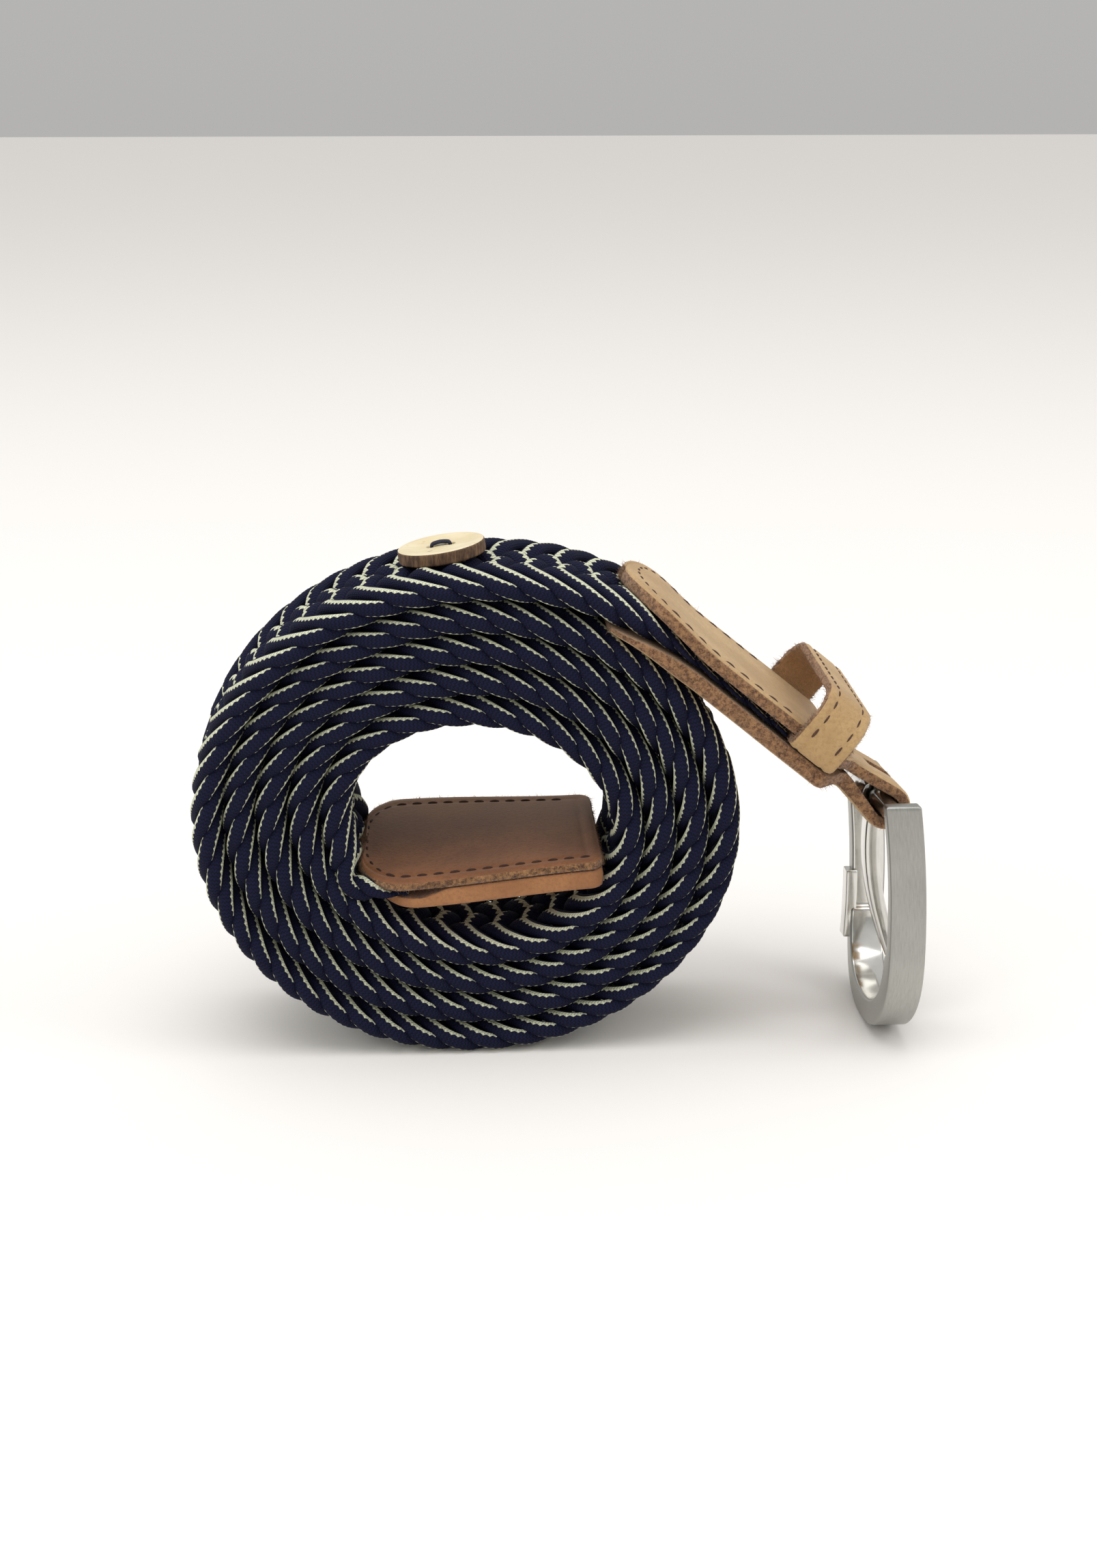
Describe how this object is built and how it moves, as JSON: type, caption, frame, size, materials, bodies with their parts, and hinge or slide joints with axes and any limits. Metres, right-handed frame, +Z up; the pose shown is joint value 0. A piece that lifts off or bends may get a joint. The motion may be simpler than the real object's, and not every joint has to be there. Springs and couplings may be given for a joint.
{
  "type": "braided belt",
  "caption": "Rolled braided cord belt with leather ends, a keeper loop, a metal buckle with a prong and a sewn button, standing on its edge.",
  "frame": {"origin": "on the floor under the roll, in the middle of the flat that the bottom turn rests on, halfway across the belt", "axes": "+X from the roll towards the buckle, +Y across the belt and away from the viewer, +Z up"},
  "size_m": [0.1352, 0.0449, 0.0949],
  "materials": {
    "braid_navy": "matt polyester cord, navy with one cream thread",
    "tip_leather": "waxed brown leather, raw edges",
    "strap_leather": "natural tan leather, raw fuzzy edges",
    "brushed_nickel": "brushed nickel plate",
    "polished_nickel": "polished nickel plate",
    "coconut_shell": "sanded coconut shell",
    "sewing_thread": "dark sewing thread"
  },
  "bodies": {
    "root": {"braid": "braid_navy", "tip_face": "tip_leather", "tip_back": "tip_leather", "strap": "strap_leather", "keeper_loop": "strap_leather", "button": "coconut_shell", "button_thread": "sewing_thread"},
    "frame": {"buckle_frame": "brushed_nickel"},
    "prong": {"prong": "polished_nickel"}
  },
  "joints": [
    {"name": "frame_swing", "type": "hinge", "parent": "root", "child": "frame", "pos_m": [0.07585, 0, 0.04415], "axis": [0, 0.9945, -0.1045], "range_deg": [-100, 35]},
    {"name": "prong_swing", "type": "hinge", "parent": "frame", "child": "prong", "pos_m": [0.07585, 0, 0.04415], "axis": [0, 0.9945, -0.1045], "range_deg": [-70, 0]}
  ]
}
